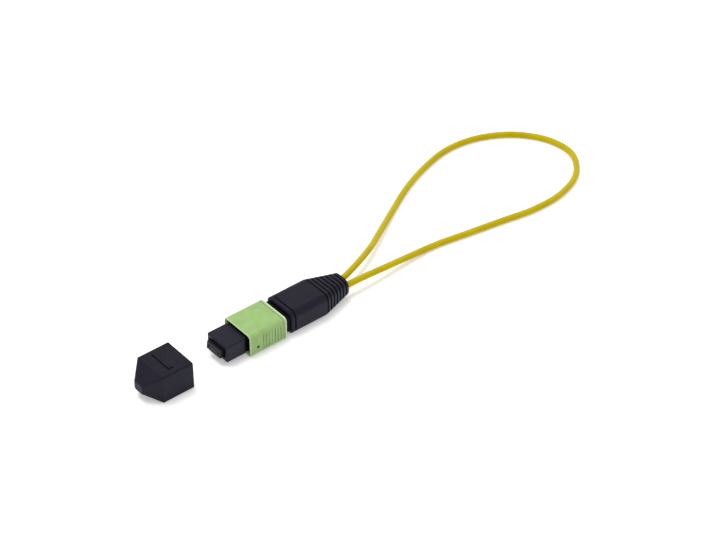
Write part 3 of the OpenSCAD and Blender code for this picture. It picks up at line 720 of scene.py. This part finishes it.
def yarn_tree():
    """Strands laid side by side along X round a barrel of rounded section."""
    tree = Tree("laid_yarn", "Start", "End", "Width", "Height", "Corner", "Strand", "Waver", "Centre Z",
                counts=("Strands", "Steps", "Sides", "Seed"))
    size = tree.given
    box = tree.node("GeometryNodeCurvePrimitiveQuadrilateral",
                    {"Width": size["Width"], "Height": size["Height"]})
    rounded = tree.node("GeometryNodeFilletCurve", {"Curve": box, "Radius": size["Corner"], "Count": 8},
                        mode="POLY")
    places = tree.node("GeometryNodeResampleCurve", {"Curve": rounded, "Count": size["Strands"]})
    upright = tree.node("GeometryNodeTransform", {
        "Geometry": places, "Translation": tree.vector(size["Start"], 0, size["Centre Z"]),
        "Rotation": (math.pi / 2, 0, math.pi / 2)})
    curve, share = tree.line(size["Steps"])
    length = tree.less(size["End"], size["Start"])
    wave = tree.maths("SINE", tree.times(share, WAVES * math.tau))
    strand = tree.moved(curve, tree.vector(tree.times(share, length), tree.times(wave, size["Waver"]), 0))
    rod = tree.swept(strand, size["Strand"], size["Sides"])
    turn = tree.node("FunctionNodeRandomValue", {"Min": 0, "Max": math.tau, "Seed": size["Seed"]}, 1,
                     data_type="FLOAT")
    laid = tree.node("GeometryNodeInstanceOnPoints", {
        "Points": upright, "Instance": rod, "Rotation": tree.vector(turn, 0, 0)})
    return tree.finish(laid, "yarn")


def make_yarn():
    low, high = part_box("strength_yarn")
    yarn = grown("yarn_strands", yarn_tree(), {
        "Start": low.x, "End": high.x, "Width": high.y - low.y - STRAND, "Height": high.z - low.z - STRAND,
        "Corner": 1.6 * MM, "Strand": STRAND, "Waver": 0.01 * MM, "Centre Z": AXIS_Z,
        "Strands": 84, "Steps": 14, "Sides": 8, "Seed": 3})
    finish_piece(yarn, "plug", "yarn", "strength_yarn")


# ---- Housings ----

NOSE_W = 9.3 * MM
NOSE_H = 5.4 * MM
NOSE_ROUND = 0.4 * MM
HOUSING_EDGE = 0.1 * MM


def corner_room(x0, x1, side_y, side_z, steps=8):
    """What rounding takes off one long edge of the nose, from x0 to x1."""
    middle_y = NOSE_W / 2 - NOSE_ROUND
    middle_z = NOSE_H / 2 - NOSE_ROUND
    out = NOSE_ROUND + PAST
    rim = [(middle_y + out, middle_z), (middle_y + out, middle_z + out), (middle_y, middle_z + out)]
    for i in range(steps + 1):
        angle = math.radians(90 * (1 - i / steps))
        rim.append((middle_y + NOSE_ROUND * math.cos(angle), middle_z + NOSE_ROUND * math.sin(angle)))
    rim = [(side_y * y, AXIS_Z + side_z * z) for y, z in rim]
    return prism("corner_room", x0, x1, rim if side_y == side_z else rim[::-1])


def make_nose():
    """Front housing, whose long edges are rounded as far back as they ever show."""
    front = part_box("inner_housing")[0].x - BEYOND
    seen_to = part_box("coupling_sleeve")[0].x + travel("sleeve_pull") + PAST
    corners = [corner_room(front, seen_to, y, z) for y in (-1, 1) for z in (-1, 1)]
    nose = cut_away(whole_copy("inner_housing", "nose_moulding"), corners)
    finish_piece(soften(nose, HOUSING_EDGE), "plug", "black_housing", "inner_housing")


def make_neck():
    """Rear housing, whose neck gets a darker, less glossy copy of the housing black: painted shade between
    the sleeve and the boot's collar.
    """
    neck = softened("rear_housing", "neck_moulding", "plug", "black_housing", HOUSING_EDGE)
    # Painted shade: a darker copy of the housing black with little gloss, for the neck that lies in shade.
    neck.data.materials[0] = moulded("neck_painted_shade", (0.004, 0.0038, 0.008), 0.5, 0.08, 2.2, tint=COOL)


# ---- Sleeve ----

SLEEVE_SIDE = 0.9 * MM
SLEEVE_ROOF = 0.85 * MM
SLEEVE_IN_CORNER = 0.6 * MM
SLEEVE_EDGE = 0.12 * MM
LEAD_IN = 0.55 * MM


def make_sleeve():
    """Coupling sleeve, whose front opening flares a little to pass over the adapter's hooks."""
    low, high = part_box("coupling_sleeve")
    width = high.y - low.y - 2 * SLEEVE_SIDE
    height = high.z - low.z - 2 * SLEEVE_ROOF
    past = 0.1 * MM
    grow = 2 * (LEAD_IN + past)
    mouth = rounded_outline(width + grow, height + grow, SLEEVE_IN_CORNER + LEAD_IN)
    inside = rounded_outline(width, height, SLEEVE_IN_CORNER)
    flare = prism("lead_in", low.x - past, low.x + LEAD_IN, mouth, inside)
    sleeve = cut_away(whole_copy("coupling_sleeve", "sleeve_moulding"), [flare])
    finish_piece(soften(sleeve, SLEEVE_EDGE), "sleeve", "green_sleeve", "coupling_sleeve")


# ---- Boot ----

BOOT_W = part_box("boot")[1].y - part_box("boot")[0].y
BOOT_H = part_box("boot")[1].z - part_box("boot")[0].z
BOOT_CORNER = 2.1 * MM
BODY_L = 13.3 * MM
TAIL_W = 6.8 * MM
TAIL_H = 5.8 * MM
TAIL_DROP = 0.1 * MM
COLLAR_L = 1.1 * MM
COLLAR_GROOVE = 0.6 * MM
GROOVE_DEPTH = 0.45 * MM
GROOVE_SHARE = 0.38
RIBS = 7.0
FRONT_BEVEL = 0.4 * MM
BOOT_EDGE = 0.08 * MM

# Rooms inside the boot: width, height and corner of the one for the spigot and of the one for the ring
SPIGOT_ROOM = (9.3 * MM, 5.4 * MM, 0.6 * MM)
SPIGOT_ROOM_L = 1.45 * MM
RING_ROOM = (7.5 * MM, 4.7 * MM, 2.05 * MM)
ROOM_OVERLAP = 0.1 * MM
JACKET_ROOM = 0.1 * MM


def well(tree, share, ease=0.35):
    """Groove from 0 to 1 of a share, whose sides are each eased over a share of its width."""
    return tree.times(tree.ramp(share, 0, ease), tree.ramp(share, 1 - ease, 1, 1, 0))


def boot_tree():
    """Skin of the boot: rounded sections that narrow along the tail, with a collar groove and ribs."""
    tree = Tree("ribbed_boot", "Front X", "Tail X", "Rear X", "Width", "Height", "Tail Width",
                "Tail Height", "Tail Drop", "Corner", "Edge", "Collar", "Collar Groove", "Groove Depth",
                "Groove Share", "Ribs", "Centre Z", counts=("Rings", "Arc"))
    size = tree.given
    corner_steps = tree.add(size["Arc"], 1)
    around = tree.add(tree.times(corner_steps, 4), 1)
    grid = tree.node("GeometryNodeMeshGrid", {
        "Size X": 1, "Size Y": 1, "Vertices X": size["Rings"], "Vertices Y": around})
    place = tree.node("GeometryNodeInputPosition")
    split = tree.node("ShaderNodeSeparateXYZ", {0: place}).node.outputs
    x = tree.ramp(split["X"], -0.5, 0.5, size["Front X"], size["Rear X"], "LINEAR")
    step = tree.maths("ROUND", tree.times(tree.add(split["Y"], 0.5), tree.less(around, 1)))

    # Depth of the grooves at x: the bevel at the front, the groove behind the collar, and the ribs
    bevel = tree.ramp(tree.less(x, size["Front X"]), 0, size["Edge"], size["Edge"], 0)
    share = tree.ramp(x, size["Tail X"], size["Rear X"], kind="LINEAR")
    collar_end = tree.add(size["Front X"], size["Collar"])
    collar = well(tree, tree.maths("DIVIDE", tree.less(x, collar_end), size["Collar Groove"]))
    phase = tree.maths("FRACT", tree.times(share, size["Ribs"]))
    on_tail = tree.maths("GREATER_THAN", x, size["Tail X"])
    rib = tree.times(well(tree, tree.maths("DIVIDE", phase, size["Groove Share"])), on_tail)
    cut = tree.add(bevel, tree.times(size["Groove Depth"], tree.maths("MAXIMUM", collar, rib)))

    # Rounded section at x, a quarter at a time
    quarter = tree.maths("FLOOR", tree.maths("DIVIDE", step, corner_steps))
    within = tree.maths("DIVIDE", tree.less(step, tree.times(quarter, corner_steps)), size["Arc"])
    angle = tree.times(tree.add(quarter, within), math.pi / 2)
    facing = tree.times(tree.add(quarter, 0.5), math.pi / 2)
    radius = tree.less(size["Corner"], tree.times(cut, 0.5))
    sides = []
    for wave, full, tail in (("COSINE", "Width", "Tail Width"), ("SINE", "Height", "Tail Height")):
        breadth = tree.ramp(share, 0, 1, size[full], size[tail], "LINEAR")
        half = tree.less(tree.times(breadth, 0.5), cut)
        straight = tree.times(tree.maths("SIGN", tree.maths(wave, facing)), tree.less(half, radius))
        sides.append(tree.add(straight, tree.times(radius, tree.maths(wave, angle))))
    y, up = sides
    z = tree.add(tree.less(size["Centre Z"], tree.times(share, size["Tail Drop"])), up)
    skin = tree.moved(grid, tree.vector(x, y, z))
    closed = tree.node("GeometryNodeMergeByDistance", {"Geometry": skin, "Distance": 0.001 * MM})
    return tree.finish(closed, "black_boot")


def make_boot():
    boot = grown("boot_moulding", boot_tree(), {
        "Front X": BOOT_FRONT, "Tail X": BOOT_FRONT + BODY_L, "Rear X": BOOT_REAR, "Width": BOOT_W,
        "Height": BOOT_H, "Tail Width": TAIL_W, "Tail Height": TAIL_H, "Tail Drop": TAIL_DROP,
        "Corner": BOOT_CORNER, "Edge": FRONT_BEVEL, "Collar": COLLAR_L, "Collar Groove": COLLAR_GROOVE,
        "Groove Depth": GROOVE_DEPTH, "Groove Share": GROOVE_SHARE, "Ribs": RIBS, "Centre Z": AXIS_Z,
        "Rings": 313, "Arc": 9})
    close_ends(boot)
    spigot_rear = BOOT_FRONT + SPIGOT_ROOM_L
    ring_front = spigot_rear - ROOM_OVERLAP
    ring_rear = BARREL_REAR + ROOM_OVERLAP
    cutters = [
        prism("spigot_room", BOOT_FRONT - BEYOND, spigot_rear, rounded_outline(*SPIGOT_ROOM)),
        prism("ring_room", ring_front, ring_rear, rounded_outline(*RING_ROOM)),
    ]
    for side in (-1, 1):
        hole = round_outline(side * LEG_Y, AXIS_Z, JACKET_D / 2 + JACKET_ROOM)
        cutters.append(prism("jacket_hole", BARREL_REAR, BOOT_REAR + BEYOND, hole))
    cut_away(boot, cutters)
    finish_piece(soften(boot, BOOT_EDGE, segments=2, angle=50), "plug", "black_boot", "boot")


# ---- Jacket ----

def route_points():
    """Centres of the jacket, with the straight ends inside the boot."""
    low = JACKET_D / 2
    loop = [(BOOT_REAR + back, across, low + share * (AXIS_Z - low)) for back, across, share in ROUTE]
    near, far = (BOOT_REAR, LEG_Y, AXIS_Z), (BOOT_REAR, -LEG_Y, AXIS_Z)
    ends = (BARREL_REAR, LEG_Y, AXIS_Z), (BARREL_REAR, -LEG_Y, AXIS_Z)
    return [Vector(p) for p in (ends[0], near, *loop, far, ends[1])]


def route_direction(points, i):
    """Tangent at point i of the route: along X in the boot's holes."""
    last = len(points) - 1
    if i <= 1:
        return Vector(((points[2] - points[1]).length, 0, 0))
    if i >= last - 1:
        return Vector((-(points[last - 1] - points[last - 2]).length, 0, 0))
    return (points[i + 1] - points[i - 1]) / 2


def lifted(point):
    """Keeps a point of the centreline at least the jacket's radius above the table."""
    return Vector((point.x, point.y, max(point.z, JACKET_D / 2)))


def make_jacket():
    curve = bpy.data.curves.new("jacket", "CURVE")
    curve.dimensions = "3D"
    curve.bevel_depth = JACKET_D / 2
    curve.bevel_resolution = 6
    curve.resolution_u = 12
    curve.use_fill_caps = True
    points = route_points()
    spline = curve.splines.new("BEZIER")
    spline.bezier_points.add(len(points) - 1)
    for i, (point, knot) in enumerate(zip(points, spline.bezier_points)):
        third = route_direction(points, i) / 3
        knot.handle_left_type = "FREE"
        knot.handle_right_type = "FREE"
        knot.co = point
        knot.handle_left = lifted(point - third)
        knot.handle_right = lifted(point + third)
    jacket = finish_piece(linked("jacket", curve), "plug", "yellow_jacket", "fibre_loop")


# ---- The object ----

bpy.context.scene.view_settings.view_transform = "Standard"
place_camera()
high_window()
studio_world()
lay_table()
MATERIALS = make_materials()
make_jacket()

softened("dust_cap", "cap_moulding", "cap", "cap_plastic", width=0.12 * MM)
make_nose()
make_sleeve()
make_neck()
make_boot()
softened("ferrule", "ferrule_block", "ferrule_group", "ferrule_compound", width=0.04 * MM)
softened("ferrule_boot", "ferrule_rubber", "ferrule_group", "ferrule_rubber", width=0.1 * MM)
softened("pin_keeper", "keeper_frame", "ferrule_group", "keeper_plastic", width=0.06 * MM)
softened("crimp_ring", "ring_band", "plug", "ring_metal", width=0.04 * MM)
make_springs()
make_fibres()
make_yarn()
